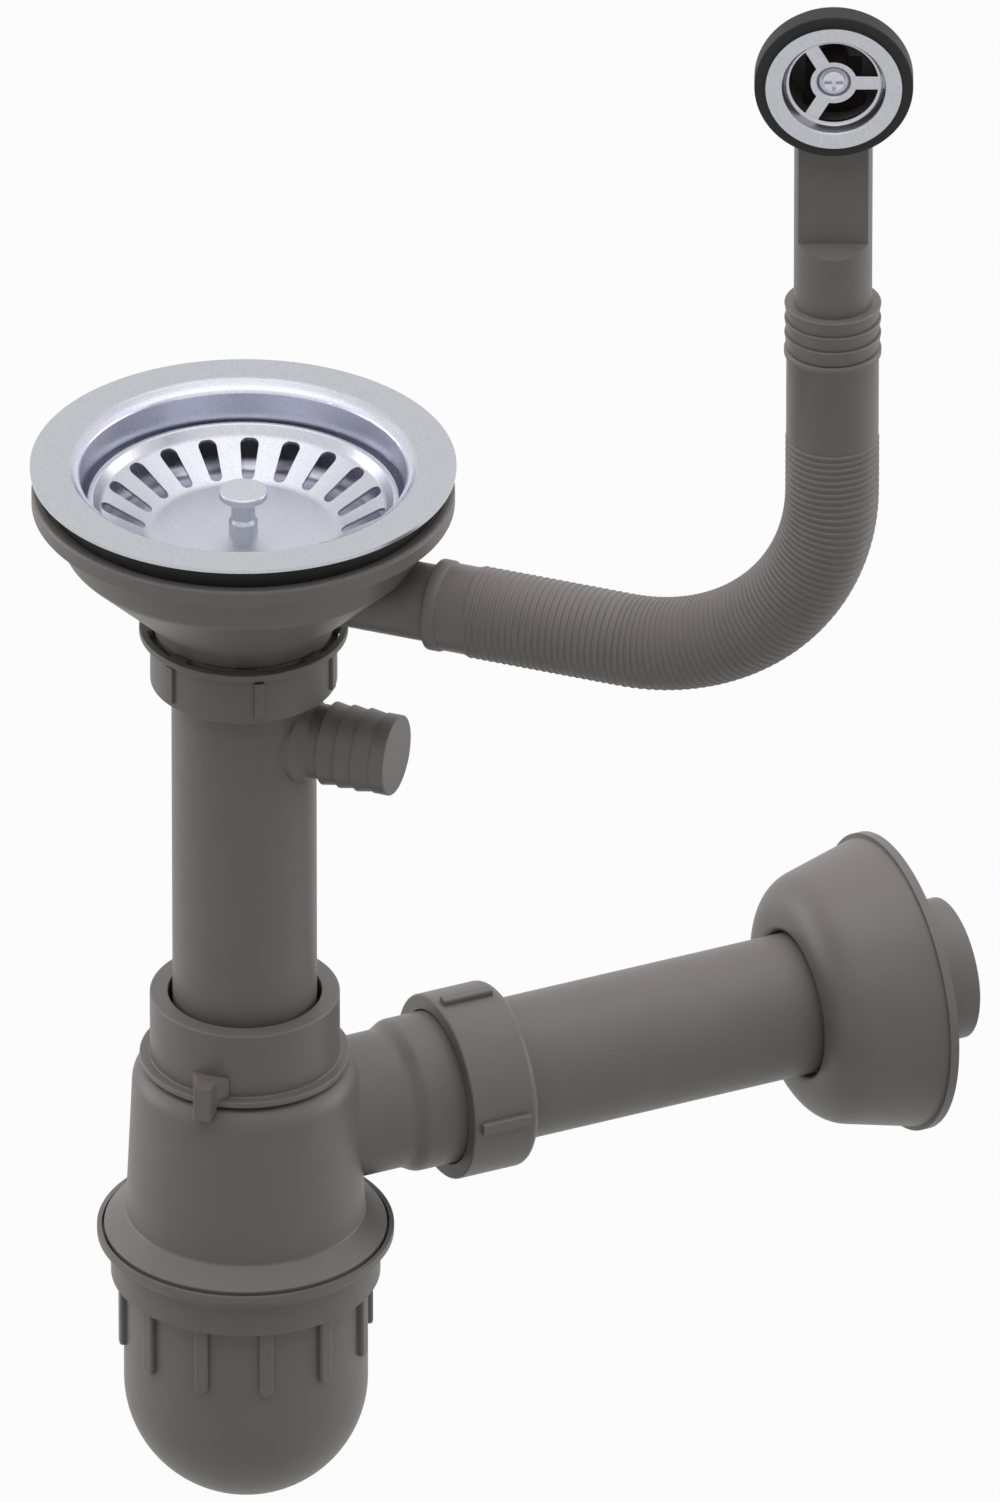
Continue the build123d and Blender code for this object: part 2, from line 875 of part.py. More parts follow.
def make_outlet_nut():
    thread = socket_radius + run_gap
    lip_bore = pipe_radius + run_gap
    lip = socket_end + seal_height + slip_ring_thick + run_gap
    nut = turned(
        [
            (thread, outlet_nut_start, edge_round),
            (outlet_nut_radius, outlet_nut_start, soft_round),
            (outlet_nut_radius, outlet_nut_end, outlet_nut_round),
            (lip_bore, outlet_nut_end, edge_round),
            (lip_bore, lip, 0),
            (thread, lip, 0),
        ]
    )
    rib = bar(
        outlet_nut_radius - root_depth,
        outlet_nut_radius + outlet_rib_height,
        outlet_rib_width,
        outlet_nut_start + outlet_rib_margin,
        outlet_nut_end - outlet_nut_round - outlet_rib_margin / 2,
    )
    rib = fillet(rib.edges().filter_by(Axis.Z).sort_by(Axis.X)[2:], soft_round)
    return sideways(0, outlet_z) * (nut + around(outlet_rib_count, 0, rib))


def make_outlet_pipe():
    start = socket_start + run_gap
    mark = outlet_end - outlet_insert
    mark_floor = pipe_radius - insert_mark_depth
    pipe = turned(
        [
            (pipe_bore, start, 0),
            (pipe_radius, start, 0),
            (pipe_radius, mark - insert_mark_width, 0),
            (mark_floor, mark - insert_mark_width, 0),
            (mark_floor, mark, 0),
            (pipe_radius, mark, 0),
            (pipe_radius, outlet_end, edge_round),
            (pipe_bore, outlet_end, 0),
        ]
    )
    return sideways(0, outlet_z) * pipe


# Bell-shaped rosette that hides the hole in the wall
def make_wall_rosette():
    hole = pipe_radius + 2 * run_gap
    path = [
        (hole, rosette_nose + rosette_collar, 0),
        (hole, rosette_nose, rosette_collar_round),
        (rosette_shoulder_radius, rosette_nose, rosette_nose_round),
        (rosette_skirt_radius, rosette_back - rosette_lip, 0),
        (rosette_skirt_radius, rosette_back, 0),
    ]
    bell = turned(pressed(path, rosette_wall))
    lip_inner = rosette_skirt_radius - rosette_wall / 2
    lip = flat_ring(lip_inner, rosette_lip_radius, rosette_back - rosette_lip, rosette_back)
    return sideways(0, outlet_z) * (bell + lip)


# Corrugated overflow hose: level run, quarter bend, rise
def hose_frame(along):
    # Section plane at a distance along the hose's centre line, before the hose is turned in plan.
    level = hose_rise_axis - hose_bend_radius - hose_start
    bend = math.pi / 2 * hose_bend_radius
    if along <= level:
        origin, tangent = (hose_start + along, 0, spigot_z), (1, 0, 0)
    elif along <= level + bend:
        turn = (along - level) / hose_bend_radius
        x = hose_start + level + hose_bend_radius * math.sin(turn)
        z = spigot_z + hose_bend_radius * (1 - math.cos(turn))
        origin, tangent = (x, 0, z), (math.cos(turn), 0, math.sin(turn))
    else:
        rise = along - level - bend
        origin = (hose_rise_axis, 0, spigot_z + hose_bend_radius + rise)
        tangent = (0, 0, 1)
    return Plane(origin=origin, x_dir=(0, 1, 0), z_dir=tangent)


def make_overflow_hose():
    bend_start = hose_rise_axis - hose_bend_radius
    bend_top = spigot_z + hose_bend_radius
    curve = bend_start - hose_start + math.pi / 2 * hose_bend_radius - bend_top
    ridges_start = hose_cuff_end - hose_start
    ridges_end = curve + hose_ridges_top
    top = curve + hose_top
    count = round((ridges_end - ridges_start) / hose_pitch)
    pitch = (ridges_end - ridges_start) / count
    stations = [
        (0, hose_cuff_radius),
        (soft_round, hose_bead_radius),
        (hose_bead_width - soft_round, hose_bead_radius),
        (hose_bead_width, hose_cuff_radius),
        (ridges_start - pitch / 2, hose_cuff_radius),
    ]
    for i in range(count):
        stations += [(ridges_start + i * pitch, hose_groove_radius)]
        stations += [(ridges_start + (i + hose_ridge_share) * pitch, hose_ridge_radius)]
    stations += [
        (ridges_end, hose_groove_radius),
        (ridges_end + pitch / 2, hose_top_cuff_radius),
        (top - hose_top_bead - soft_round, hose_top_cuff_radius),
        (top - hose_top_bead, hose_top_bead_radius),
        (top, hose_top_bead_radius),
    ]
    hose = loft([hose_frame(s) * Circle(r) for s, r in stations], ruled=True)
    start = Vector(hose_start - cut_margin, 0, spigot_z)
    bend_in = Vector(bend_start, 0, spigot_z)
    bend_out = Vector(hose_rise_axis, 0, bend_top)
    slant = hose_bend_radius * math.sqrt(0.5)
    bend_mid = Vector(bend_start + slant, 0, bend_top - slant)
    finish = Vector(hose_rise_axis, 0, hose_top + cut_margin)
    bend = ThreePointArc(bend_in, bend_mid, bend_out)
    path = Wire([Line(start, bend_in), bend, Line(bend_out, finish)])
    mouth = Plane(origin=start, x_dir=(0, 1, 0), z_dir=(1, 0, 0))
    bore = sweep(mouth * Circle(hose_bore), path=path)
    return Rot(0, 0, branch_angle) * (hose - bore)


def elbow_axis():
    # Moves a piece from the origin's axis to the axis of the overflow elbow.
    plan = math.radians(branch_angle)
    return Pos(hose_rise_axis * math.cos(plan), hose_rise_axis * math.sin(plan), 0)


def head_frame():
    # Plane of the overflow face: Z out of the sink wall, Y up, on the elbow's axis.
    plan = math.radians(head_angle)
    facing = (math.cos(plan), math.sin(plan), 0)
    across = (-math.sin(plan), math.cos(plan), 0)
    return elbow_axis() * Plane(origin=(0, 0, head_height), x_dir=across, z_dir=facing).location


def make_overflow_elbow():
    tail_end = hose_top - elbow_tail
    stop_top = tail_start + collar_ring_count * collar_ring_pitch
    corners = [(0, tail_end, 0), (elbow_radius, tail_end, soft_round), (elbow_radius, tail_start, 0)]
    for i in range(collar_ring_count):
        low = tail_start + i * collar_ring_pitch
        corners += [(collar_ring_foot, low, 0), (collar_ring_radius, low + collar_ring_pitch, edge_round)]
    corners += [
        (elbow_radius, stop_top, 0),
        (elbow_radius, head_height + elbow_cap, elbow_cap),
        (0, head_height + elbow_cap, 0),
    ]
    pipe = elbow_axis() * turned(corners)
    frame = head_frame()
    wide = 4 * elbow_radius
    flat_low = elbow_flat_bottom - head_height
    cut = outline(
        [
            (elbow_flat, flat_low, 0),
            (elbow_flat + wide, flat_low - elbow_ledge_slope * wide, 0),
            (elbow_flat + wide, wide, 0),
            (elbow_flat, wide, 0),
        ]
    )
    ahead = Plane(origin=(-wide / 2, 0, 0), x_dir=(0, 0, 1), z_dir=(-1, 0, 0))
    side_cut = extrude(ahead * cut, -wide)
    pipe -= frame * side_cut
    head = turned(
        [
            (0, -head_cup_back, 0),
            (head_cup_radius, -head_cup_back, head_round),
            (head_cup_radius, elbow_flat, soft_round),
            (head_plate_radius, elbow_flat, edge_round),
            (head_plate_radius, head_front, 0),
            (0, head_front, 0),
        ]
    )
    elbow = pipe + frame * head
    back = elbow_wall - head_cup_back
    mouth = frame * rod(head_mouth_radius, back, head_front + cut_margin)
    bore = elbow_axis() * rod(elbow_radius - elbow_wall, tail_end - cut_margin, head_height)
    flat_wall = Box(wide, 2 * (elbow_flat_lead - flat_low), wide)
    bore -= frame * Pos(0, 0, elbow_flat - elbow_wall + wide / 2) * flat_wall
    elbow = elbow - mouth - bore
    boss = rod(head_boss_radius, back - root_depth / 2, head_front - head_boss_drop)
    boss -= rod(overflow_screw_radius + fit_gap, back + head_boss_floor, head_front)
    return elbow + frame * boss


def make_overflow_gasket():
    gasket = turned(
        [
            (gasket_bore, head_front, 0),
            (gasket_radius, head_front, edge_round),
            (gasket_radius, gasket_front, edge_round),
            (gasket_bore, gasket_front, 0),
        ]
    )
    return head_frame() * gasket


def make_overflow_rosette():
    front = gasket_front + steel_sheet
    floor = front - face_dish_depth
    path = [
        (face_radius, front, 0),
        (face_dish_radius, front, face_round),
        (face_dish_floor, floor, face_round),
        (dimple_radius, floor, dimple_round),
        (dimple_floor, floor - dimple_depth, dimple_round),
        (overflow_screw_radius + fit_gap, floor - dimple_depth, 0),
    ]
    plate = turned(pressed(path, steel_sheet))
    low = floor - 2 * steel_sheet
    high = floor + 2 * steel_sheet
    window = flat_ring(face_hub_radius, face_window_radius, low, high)
    spoke = bar(0, face_radius, spoke_width, low - cut_margin, high + cut_margin)
    window -= around(spoke_count, 0, spoke)
    return head_frame() * (plate - window)


def make_overflow_screw():
    seat = gasket_front + steel_sheet - face_dish_depth - dimple_depth
    top = seat + overflow_screw_head_height
    screw = turned(
        [
            (0, top, 0),
            (overflow_screw_head, top, soft_round),
            (overflow_screw_head, seat, 0),
            (overflow_screw_radius, seat, 0),
            (overflow_screw_radius, seat - overflow_screw_length, edge_round),
            (0, seat - overflow_screw_length, 0),
        ]
    )
    reach = overflow_screw_head * cross_share
    cross = bar(-reach, reach, cross_width, seat + cross_floor, top + cut_margin)
    return head_frame() * (screw - cross - Rot(0, 0, 90) * cross)


pieces = {
    "strainer_bowl": make_strainer_bowl,
    "fixing_screw": make_fixing_screw,
    "hub_nut": make_hub_nut,
    "flange_seal": make_flange_seal,
    "body_seal": make_body_seal,
    "waste_body": make_waste_body,
    "basket": make_basket,
    "basket_knob": make_basket_knob,
    "basket_stopper": make_basket_stopper,
    "stopper_nut": make_stopper_nut,
    "tail_nut": make_tail_nut,
    "tail_slip_ring": make_tail_slip_ring,
    "tail_seal": make_tail_seal,
    "tail_pipe": make_tail_pipe,
    "trap_collar": make_trap_collar,
    "slip_seal": make_slip_seal,
    "trap_body": make_trap_body,
    "cup_seal": make_cup_seal,
    "trap_cup": make_trap_cup,
    "outlet_seal": make_outlet_seal,
    "outlet_slip_ring": make_outlet_slip_ring,
    "outlet_nut": make_outlet_nut,
    "outlet_pipe": make_outlet_pipe,
    "wall_rosette": make_wall_rosette,
    "overflow_hose": make_overflow_hose,
    "overflow_elbow": make_overflow_elbow,
    "overflow_gasket": make_overflow_gasket,
    "overflow_rosette": make_overflow_rosette,
    "overflow_screw": make_overflow_screw,
}

os.makedirs("parts", exist_ok=True)
for name, make in pieces.items():
    export_step(make(), f"parts/{name}.step")
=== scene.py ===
import json
import math

import bpy
import numpy as np
from mathutils import Matrix, Vector


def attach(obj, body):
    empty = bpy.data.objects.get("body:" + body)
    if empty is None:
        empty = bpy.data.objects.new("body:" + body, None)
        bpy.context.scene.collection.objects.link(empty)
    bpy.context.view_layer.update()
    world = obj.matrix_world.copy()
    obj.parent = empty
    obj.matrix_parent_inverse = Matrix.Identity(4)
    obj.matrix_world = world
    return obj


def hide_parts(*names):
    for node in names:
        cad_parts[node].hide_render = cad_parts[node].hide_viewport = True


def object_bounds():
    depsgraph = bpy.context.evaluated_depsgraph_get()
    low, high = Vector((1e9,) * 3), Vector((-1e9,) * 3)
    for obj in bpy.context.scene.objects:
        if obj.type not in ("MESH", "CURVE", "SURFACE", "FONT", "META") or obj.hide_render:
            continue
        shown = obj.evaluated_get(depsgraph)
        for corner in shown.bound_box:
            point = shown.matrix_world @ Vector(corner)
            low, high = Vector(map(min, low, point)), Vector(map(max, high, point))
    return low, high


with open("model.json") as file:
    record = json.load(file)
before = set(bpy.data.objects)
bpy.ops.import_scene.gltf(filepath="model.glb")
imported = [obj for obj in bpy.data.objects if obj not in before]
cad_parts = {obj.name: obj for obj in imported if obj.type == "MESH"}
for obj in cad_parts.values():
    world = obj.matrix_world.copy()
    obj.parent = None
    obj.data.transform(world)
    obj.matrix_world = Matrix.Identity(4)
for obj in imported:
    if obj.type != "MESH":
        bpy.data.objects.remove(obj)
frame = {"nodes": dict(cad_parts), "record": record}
nodes = frame["nodes"]
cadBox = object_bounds()
print("frame loaded:", len(nodes), "nodes")


# materials

def startMaterial(name):
    material = bpy.data.materials.new(name)
    material.use_nodes = True
    tree = material.node_tree
    tree.nodes.clear()
    output = tree.nodes.new("ShaderNodeOutputMaterial")
    shader = tree.nodes.new("ShaderNodeBsdfPrincipled")
    tree.links.new(shader.outputs["BSDF"], output.inputs["Surface"])
    return material, tree, shader


def objectPoints(tree, stretch=(1, 1, 1)):
    place = tree.nodes.new("ShaderNodeTexCoord")
    mapping = tree.nodes.new("ShaderNodeMapping")
    mapping.inputs["Scale"].default_value = stretch
    tree.links.new(place.outputs["Object"], mapping.inputs["Vector"])
    return mapping.outputs["Vector"]


def noise(tree, points, scale, detail, roughness=0.5):
    texture = tree.nodes.new("ShaderNodeTexNoise")
    texture.inputs["Scale"].default_value = scale
    texture.inputs["Detail"].default_value = detail
    texture.inputs["Roughness"].default_value = roughness
    tree.links.new(points, texture.inputs["Vector"])
    return texture.outputs["Fac"]


def spread(tree, value, low, high, start=0.3, stop=0.7):
    # start to stop becomes low to high; the first pair is the middle of a noise
    ranger = tree.nodes.new("ShaderNodeMapRange")
    ranger.inputs["From Min"].default_value = start
    ranger.inputs["From Max"].default_value = stop
    ranger.inputs["To Min"].default_value = low
    ranger.inputs["To Max"].default_value = high
    tree.links.new(value, ranger.inputs["Value"])
    return ranger.outputs["Result"]


def twoTone(tree, value, first, second):
    mix = tree.nodes.new("ShaderNodeMix")
    mix.data_type = "RGBA"
    mix.inputs["A"].default_value = (*first, 1)
    mix.inputs["B"].default_value = (*second, 1)
    tree.links.new(value, mix.inputs["Factor"])
    return mix.outputs["Result"]


def bump(tree, shader, height, look):
    node = tree.nodes.new("ShaderNodeBump")
    node.inputs["Strength"].default_value = look["relief"]
    node.inputs["Distance"].default_value = look["depth"]
    tree.links.new(height, node.inputs["Height"])
    tree.links.new(node.outputs["Normal"], shader.inputs["Normal"])


plasticLook = {
    "light": (0.115, 0.103, 0.099), "dark": (0.107, 0.096, 0.092),
    "mottle": 90, "mottleDetail": 4,
    "grain": 1900, "grainDetail": 2, "depth": 0.00005, "relief": 0.35,
    "smooth": 0.42, "rough": 0.50, "specular": 0.45,
}


def mouldedPlastic(name, look):
    # slow mottle for the colour, fine spark-eroded grain for the gloss and the relief
    material, tree, shader = startMaterial(name)
    points = objectPoints(tree)
    mottle = noise(tree, points, look["mottle"], look["mottleDetail"])
    grain = noise(tree, points, look["grain"], look["grainDetail"])
    colour = twoTone(tree, spread(tree, mottle, 0, 1), look["dark"], look["light"])
    gloss = spread(tree, grain, look["smooth"], look["rough"])
    tree.links.new(colour, shader.inputs["Base Color"])
    tree.links.new(gloss, shader.inputs["Roughness"])
    shader.inputs["Specular IOR Level"].default_value = look["specular"]
    bump(tree, shader, grain, look)
    return material


steelLook = {
    "light": (0.636, 0.652, 0.698), "dark": (0.521, 0.537, 0.583),
    # painted light and shade on the bowl: the first tint lightens and blues the steel inside the
    # bowl, the second darkens the flange
    "bowlPaintedLight": (1.188, 1.165, 1.248), "flangePaintedShade": (0.858, 0.878, 0.859),
    "bowlRadius": 0.0455, "flangeRadius": 0.0482,
    "rosette": (0.865, 0.860, 0.855),
    "grain": 1700, "grainDetail": 3, "grainRoughness": 0.6, "depth": 0.00003, "relief": 0.15,
    "cloud": 160, "cloudDetail": 3,
    "smooth": 0.27, "rough": 0.31,
}


def byRadius(tree, inner, outer):
    # 0 inside the first radius about Z, 1 outside the second
    flat = tree.nodes.new("ShaderNodeVectorMath")
    flat.operation = "LENGTH"
    tree.links.new(objectPoints(tree, (1, 1, 0)), flat.inputs[0])
    return spread(tree, flat.outputs["Value"], 0, 1, inner, outer)


def satinSteel(name, look, inner=None, outer=None):
    # bead-blasted sheet: fine speckle in colour and relief over a slow cloud in the gloss
    # inner and outer name the tints within the bowl's radius and beyond the flange's; on the bowl
    # these are painted light, lighter and bluer inside the bowl, and painted shade, darker on the
    # flange
    material, tree, shader = startMaterial(name)
    points = objectPoints(tree)
    grain = noise(tree, points, look["grain"], look["grainDetail"], look["grainRoughness"])
    cloud = noise(tree, points, look["cloud"], look["cloudDetail"])
    colour = twoTone(tree, spread(tree, grain, 0, 1), look["dark"], look["light"])
    if inner:
        share = byRadius(tree, look["bowlRadius"], look["flangeRadius"])
        tint = tree.nodes.new("ShaderNodeVectorMath")
        tint.operation = "MULTIPLY"
        tree.links.new(colour, tint.inputs[0])
        tree.links.new(twoTone(tree, share, look[inner], look[outer]), tint.inputs[1])
        colour = tint.outputs["Vector"]
    gloss = spread(tree, cloud, look["smooth"], look["rough"])
    tree.links.new(colour, shader.inputs["Base Color"])
    tree.links.new(gloss, shader.inputs["Roughness"])
    shader.inputs["Metallic"].default_value = 1.0
    bump(tree, shader, grain, look)
    return material


rubberLook = {
    "light": (0.0190, 0.0185, 0.0188), "dark": (0.0145, 0.0140, 0.0142),
    "mottle": 220, "mottleDetail": 3,
    "grain": 1500, "grainDetail": 2, "depth": 0.00006, "relief": 0.4,
    "smooth": 0.54, "rough": 0.64, "specular": 0.28,
}


def mattRubber(name, look):
    # moulded rubber: dull, with a bloom that varies slowly and a fine pitted skin
    material, tree, shader = startMaterial(name)
    points = objectPoints(tree)
    mottle = noise(tree, points, look["mottle"], look["mottleDetail"])
    grain = noise(tree, points, look["grain"], look["grainDetail"])
    colour = twoTone(tree, spread(tree, mottle, 0, 1), look["dark"], look["light"])
    gloss = spread(tree, mottle, look["smooth"], look["rough"])
    tree.links.new(colour, shader.inputs["Base Color"])
    tree.links.new(gloss, shader.inputs["Roughness"])
    shader.inputs["Specular IOR Level"].default_value = look["specular"]
    bump(tree, shader, grain, look)
    return material


brassLook = {
    "light": (0.60, 0.44, 0.19), "dark": (0.46, 0.33, 0.14),
    "stretch": (0.15, 0.15, 2.0), "marks": 1400, "marksDetail": 2, "depth": 0.00004, "relief": 0.3,
    "smooth": 0.26, "rough": 0.40,
}


def turnedBrass(name, look):
    # fine tool marks across the axis
    material, tree, shader = startMaterial(name)
    points = objectPoints(tree, look["stretch"])
    marks = noise(tree, points, look["marks"], look["marksDetail"])
    colour = twoTone(tree, spread(tree, marks, 0, 1), look["dark"], look["light"])
    gloss = spread(tree, marks, look["smooth"], look["rough"])
    tree.links.new(colour, shader.inputs["Base Color"])
    tree.links.new(gloss, shader.inputs["Roughness"])
    shader.inputs["Metallic"].default_value = 1.0
    bump(tree, shader, marks, look)
    return material


finishes = {
    "grey_plastic": mouldedPlastic("greyPlastic", plasticLook),
    "steel": satinSteel("satinSteel", steelLook),
    "rubber": mattRubber("mattRubber", rubberLook),
    "brass": turnedBrass("turnedBrass", brassLook),
}
slotOf = {part["node"]: part["material_slot"] for part in frame["record"]["subparts"]}
for nodeName, node in nodes.items():
    node.data.materials.clear()
    node.data.materials.append(finishes[slotOf[nodeName]])
# the strainer bowl's steel carries painted light inside the bowl and painted shade on its flange
bowlSteelPaintedShading = satinSteel("bowlSteelPaintedShading", steelLook, "bowlPaintedLight", "flangePaintedShade")
rosetteSteel = satinSteel("rosetteSteel", steelLook, "rosette", "rosette")
nodes["strainer_bowl"].data.materials[0] = bowlSteelPaintedShading
nodes["overflow_rosette"].data.materials[0] = rosetteSteel
print("materials set:", sorted(finishes))


# new pieces

def gridMesh(name, points):
    # quads over a grid of points, rows by columns, with its last row and column joined to the first
    rows, columns = points.shape[:2]
    r = np.arange(rows)[:, None]
    c = np.arange(columns)[None, :]
    rNext = (r + 1) % rows
    cNext = (c + 1) % columns
    corners = [r * columns + c, r * columns + cNext, rNext * columns + cNext, rNext * columns + c]
    quads = np.stack(corners, axis=-1).reshape(-1, 4)
    mesh = bpy.data.meshes.new(name)
    mesh.vertices.add(rows * columns)
    mesh.vertices.foreach_set("co", points.reshape(-1).astype(np.float32))
    mesh.loops.add(quads.size)
    mesh.loops.foreach_set("vertex_index", quads.reshape(-1).astype(np.int32))
    mesh.polygons.add(len(quads))
    mesh.polygons.foreach_set("loop_start", np.arange(0, quads.size, 4, dtype=np.int32))
    mesh.update(calc_edges=True)
    mesh.validate()
    return mesh


def addPiece(name, mesh, body, slot, replaced, sharpAngle):
    mesh.polygons.foreach_set("use_smooth", np.ones(len(mesh.polygons), dtype=bool))
    mesh.set_sharp_from_angle(angle=math.radians(sharpAngle))
    mesh.materials.append(finishes[slot])
    piece = bpy.data.objects.new(name, mesh)
    bpy.context.scene.collection.objects.link(piece)
    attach(piece, body)
    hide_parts(*replaced)


hose = {
    "plan": -45.3, "level": -0.0317, "start": 0.0565,
    "riseAxis": 0.1723, "bendRadius": 0.06, "top": 0.073, "bore": 0.0108,
    "cuff": 0.0122, "bead": 0.01275, "beadWidth": 0.004, "cuffEnd": 0.068,
    "topCuff": 0.01265, "topBead": 0.0133, "topBeadWidth": 0.0018, "round": 0.0006,
    "ridge": 0.01285, "groove": 0.0124, "pitch": 0.00195, "ridgesTop": 0.045, "peak": 0.75,
    "around": 72, "perRidge": 10, "boreRings": 60, "sharpAngle": 50,
}


def hosePoints(look, along, radius):
    # centre line: level run, quarter turn, rise; each station is a circle across it
    run = look["riseAxis"] - look["bendRadius"] - look["start"]
    bend = np.clip((along - run) / look["bendRadius"], 0, math.pi / 2)
    quarter = look["bendRadius"] * math.pi / 2
    x = look["start"] + np.minimum(along, run) + look["bendRadius"] * np.sin(bend)
    lift = look["bendRadius"] * (1 - np.cos(bend)) + np.maximum(along - run - quarter, 0)
    z = look["level"] + lift
    angle = np.linspace(0, 2 * math.pi, look["around"], endpoint=False)
    across = radius[:, None] * np.cos(angle)[None, :]
    inPlane = radius[:, None] * np.sin(angle)[None, :]
    u = x[:, None] - np.sin(bend)[:, None] * inPlane
    h = z[:, None] + np.cos(bend)[:, None] * inPlane
    turn = math.radians(look["plan"])
    east = u * math.cos(turn) - across * math.sin(turn)
    north = u * math.sin(turn) + across * math.cos(turn)
    return np.stack([east, north, h], -1)


def ridgeShape(look):
    # one ridge: a half cosine that rises slowly to the peak, and another that falls quickly
    half = look["perRidge"] // 2
    peak = look["peak"]
    rising = np.linspace(0, peak, half, endpoint=False)
    falling = np.linspace(peak, 1, half, endpoint=False)
    up = (1 - np.cos(math.pi * rising / peak)) / 2
    down = (1 + np.cos(math.pi * (falling - peak) / (1 - peak))) / 2
    return np.concatenate([rising, falling]), np.concatenate([up, down])


def makeHose(look):
    # outside from the lower cuff over the ridges to the upper cuff, then back through the bore
    run = look["riseAxis"] - look["bendRadius"] - look["start"]
    riseFoot = run + look["bendRadius"] * math.pi / 2 - (look["level"] + look["bendRadius"])
    first = look["cuffEnd"] - look["start"]
    last = riseFoot + look["ridgesTop"]
    top = riseFoot + look["top"]
    count = round((last - first) / look["pitch"])
    pitch = (last - first) / count
    t, crest = ridgeShape(look)
    alongRidges = (first + pitch * (np.arange(count)[:, None] + t[None, :])).reshape(-1)
    ridges = np.tile(look["groove"] + (look["ridge"] - look["groove"]) * crest, count)

    # pairs of place along the hose and radius; each edge is eased by a lip
    soft = look["round"]
    lip = soft * 0.3
    bead, cuff, beadWidth = look["bead"], look["cuff"], look["beadWidth"]
    lowerCuff = [
        (0, look["bore"]), (0, cuff), (lip, bead - lip), (soft, bead),
        (beadWidth - soft, bead), (beadWidth - lip, bead - lip), (beadWidth, cuff),
        (first - pitch * 0.3, cuff),
    ]
    topCuff, topBead = look["topCuff"], look["topBead"]
    topEdge = top - look["topBeadWidth"]
    upperCuff = [
        (last, look["groove"]), (last + pitch * 0.15, topCuff - lip), (last + pitch * 0.5, topCuff),
        (topEdge - soft, topCuff), (topEdge - lip, topBead - lip), (topEdge, topBead),
        (top - soft * 0.5, topBead), (top, topBead - soft * 0.5), (top, look["bore"]),
    ]
    lower = np.array(lowerCuff)
    upper = np.array(upperCuff)
    bore = np.linspace(top, 0, look["boreRings"])[1:-1]
    along = np.concatenate([lower[:, 0], alongRidges, upper[:, 0], bore])
    radius = np.concatenate([lower[:, 1], ridges, upper[:, 1], np.full(bore.size, look["bore"])])
    mesh = gridMesh("overflowHose", hosePoints(look, along, radius))
    addPiece("corrugated_hose", mesh, "waste", "grey_plastic", ["overflow_hose"], look["sharpAngle"])


makeHose(hose)
print("hose made")


# light, floor and camera

stage = {
    "floorDrop": 0.06, "floorHalf": 6.0, "floorColour": (0.42, 0.42, 0.42),
    "white": (1, 1, 1), "shadow": 0.08,
    "domeColour": (0.98, 0.99, 1.0), "domeMean": 0.45, "domeSlope": 0.50,
    "domeAxis": (0.25, 0.53, 0.81),
    "zenith": 1.6, "zenithFrom": 0.66, "zenithTo": 0.95,
}


def figure(tree, operation, *values):
    # one Math node; each value is a number or a socket
    node = tree.nodes.new("ShaderNodeMath")
    node.operation = operation
    for socket, value in zip(node.inputs, values):
        if isinstance(value, (int, float)):
            socket.default_value = value
        else:
            tree.links.new(value, socket)
    return node.outputs[0]


def mixed(tree, share, first, second, output):
    mix = tree.nodes.new("ShaderNodeMixShader")
    tree.links.new(share, mix.inputs["Fac"])
    tree.links.new(first.outputs[0], mix.inputs[1])
    tree.links.new(second.outputs[0], mix.inputs[2])
    tree.links.new(mix.outputs[0], output.inputs["Surface"])


def backgroundRays(tree):
    # 1 for the rays that see the background itself: from the camera, off gloss and through glass
    path = tree.nodes.new("ShaderNodeLightPath")
    seen = path.outputs["Is Camera Ray"]
    for kind in ("Is Glossy Ray", "Is Transmission Ray"):
        seen = figure(tree, "MAXIMUM", seen, path.outputs[kind])
    return seen


def makeFloor(look):
    # grey to the light that bounces off it, nearly white to the camera
    half = look["floorHalf"]
    level = cadBox[0].z - look["floorDrop"]
    corners = [(-half, -half, level), (half, -half, level), (half, half, level), (-half, half, level)]
    mesh = bpy.data.meshes.new("floor")
    mesh.from_pydata(corners, [], [(0, 1, 2, 3)])
    floor = bpy.data.objects.new("floor", mesh)
    bpy.context.scene.collection.objects.link(floor)
    material = bpy.data.materials.new("whiteFloor")
    material.use_nodes = True
    tree = material.node_tree
    tree.nodes.clear()
    output = tree.nodes.new("ShaderNodeOutputMaterial")
    diffuse = tree.nodes.new("ShaderNodeBsdfDiffuse")
    diffuse.inputs["Color"].default_value = (*look["floorColour"], 1)
    glow = tree.nodes.new("ShaderNodeEmission")
    glow.inputs["Color"].default_value = (*look["white"], 1)
    share = figure(tree, "MULTIPLY", backgroundRays(tree), 1 - look["shadow"])
    mixed(tree, share, diffuse, glow, output)
    mesh.materials.append(material)


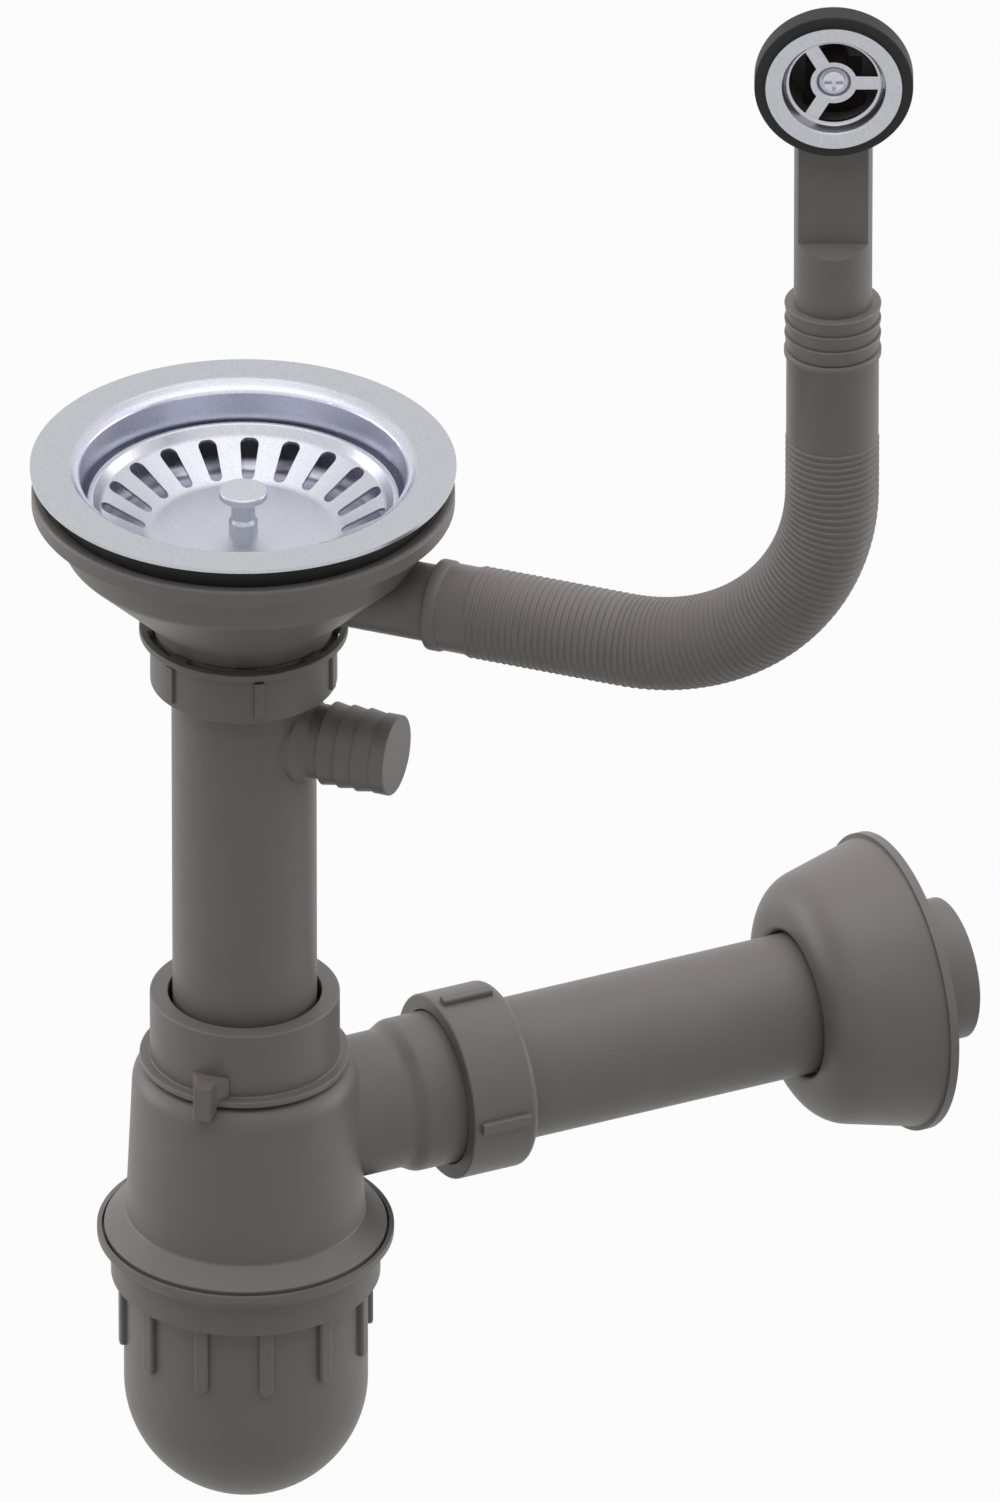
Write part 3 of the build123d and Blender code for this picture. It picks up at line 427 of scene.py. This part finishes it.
def makeWorld(look):
    # soft dome, mean plus slope times the cosine to its bright side, above and behind the part
    world = bpy.data.worlds.new("studio")
    bpy.context.scene.world = world
    world.use_nodes = True
    tree = world.node_tree
    tree.nodes.clear()
    output = tree.nodes.new("ShaderNodeOutputWorld")
    direction = tree.nodes.new("ShaderNodeTexCoord").outputs["Generated"]
    cosine = tree.nodes.new("ShaderNodeVectorMath")
    cosine.operation = "DOT_PRODUCT"
    cosine.inputs[1].default_value = look["domeAxis"]
    tree.links.new(direction, cosine.inputs[0])
    fill = tree.nodes.new("ShaderNodeBackground")
    fill.inputs["Color"].default_value = (*look["domeColour"], 1)
    level = figure(tree, "MULTIPLY_ADD", cosine.outputs["Value"], look["domeSlope"], look["domeMean"])
    tree.links.new(level, fill.inputs["Strength"])

    # white background, with a brighter zenith for steel that faces up
    height = tree.nodes.new("ShaderNodeSeparateXYZ")
    tree.links.new(direction, height.inputs["Vector"])
    white = tree.nodes.new("ShaderNodeBackground")
    white.inputs["Color"].default_value = (*look["white"], 1)
    glint = spread(tree, height.outputs["Z"], 1, look["zenith"], look["zenithFrom"], look["zenithTo"])
    tree.links.new(glint, white.inputs["Strength"])
    mixed(tree, backgroundRays(tree), fill, white, output)


photo = {
    "azimuth": -24.64, "elevation": 30.064, "distance": 12.6,
    "acrossBy": 0.070523, "downBy": 0.07866, "flangeTop": 0.001,
    "lens": 1100.0, "sensor": 36.0, "near": 0.1, "far": 60,
}


def cameraAxes(look):
    turn = math.radians(look["azimuth"])
    tilt = math.radians(look["elevation"])
    right = Vector((math.cos(turn), math.sin(turn), 0))
    away = Vector((-math.sin(turn), math.cos(turn), 0))
    up = away * math.sin(tilt) + Vector((0, 0, math.cos(tilt)))
    back = -away * math.cos(tilt) + Vector((0, 0, math.sin(tilt)))
    return right, up, back


def makeCamera(look):
    # the photo has no perspective, so a very long lens stands far off
    # it looks at a point beside and below the flange's centre
    right, up, back = cameraAxes(look)
    target = Vector((0, 0, look["flangeTop"])) + right * look["acrossBy"] - up * look["downBy"]
    data = bpy.data.cameras.new("camera")
    data.lens = look["lens"]
    data.sensor_width = look["sensor"]
    data.clip_start = look["near"]
    data.clip_end = look["far"]
    camera = bpy.data.objects.new("camera", data)
    bpy.context.scene.collection.objects.link(camera)
    place = Matrix.Translation(target + back * look["distance"])
    camera.matrix_world = place @ Matrix((right, up, back)).transposed().to_4x4()
    bpy.context.scene.camera = camera


lampAim = (0.05, -0.05, -0.08)
lampColour = (1.0, 0.99, 0.98)
lamps = {
    "above": {"at": (0.0, 0.0, 1.65), "size": 3.0, "watts": 52, "mirrored": False},
    "left": {"at": (-1.24, 1.13, 0.1), "size": 1.2, "watts": 9.6, "mirrored": True},
    "right": {"at": (1.71, -0.36, 0.1), "size": 1.2, "watts": 9.6, "mirrored": True},
}


def makeLamp(name, look):
    data = bpy.data.lights.new(name, "AREA")
    data.shape = "DISK"
    data.size = look["size"]
    data.energy = look["watts"]
    data.color = lampColour
    lamp = bpy.data.objects.new(name, data)
    bpy.context.scene.collection.objects.link(lamp)
    lamp.location = look["at"]
    lamp.visible_glossy = look["mirrored"]  # steel that faces up mirrors the zenith instead
    lamp.rotation_mode = "QUATERNION"
    lamp.rotation_quaternion = (Vector(lampAim) - Vector(look["at"])).to_track_quat("-Z", "Y")


makeFloor(stage)
makeWorld(stage)
makeCamera(photo)
for lampName, lampLook in lamps.items():
    makeLamp(lampName, lampLook)
bpy.context.scene.view_settings.view_transform = "Standard"
print("stage set")
